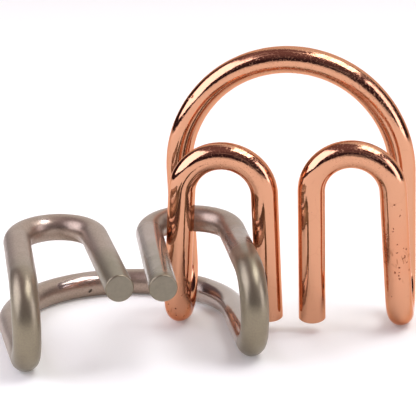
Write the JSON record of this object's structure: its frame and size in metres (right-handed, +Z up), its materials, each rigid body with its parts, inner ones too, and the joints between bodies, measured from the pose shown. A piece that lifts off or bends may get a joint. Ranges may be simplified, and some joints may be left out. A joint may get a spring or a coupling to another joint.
{
  "type": "metal disentanglement puzzle",
  "caption": "Pocket puzzle of two stout bent rods, each a round bow with a hook folded back at either end, hooked through one another.",
  "frame": {"origin": "bottom centre of the box round both rods, on the ground plane they lie on", "axes": "+Z up, +X across the copper rod's bow, -Y towards the side the copper rod's hooks face"},
  "size_m": [0.0784, 0.06, 0.0527],
  "materials": {
    "copper_plate": "polished",
    "nickel_plate": "satin"
  },
  "bodies": {
    "nickel_rod": {"nickel_rod": "nickel_plate"},
    "copper_rod": {"copper_rod": "copper_plate"}
  },
  "joints": [
    {"name": "hook_swing", "type": "hinge", "parent": "nickel_rod", "child": "copper_rod", "pos_m": [-0.00403, 0.01044, 0.01995], "axis": [-0.9542, -0.299, 0], "range_deg": [0, 115]}
  ]
}
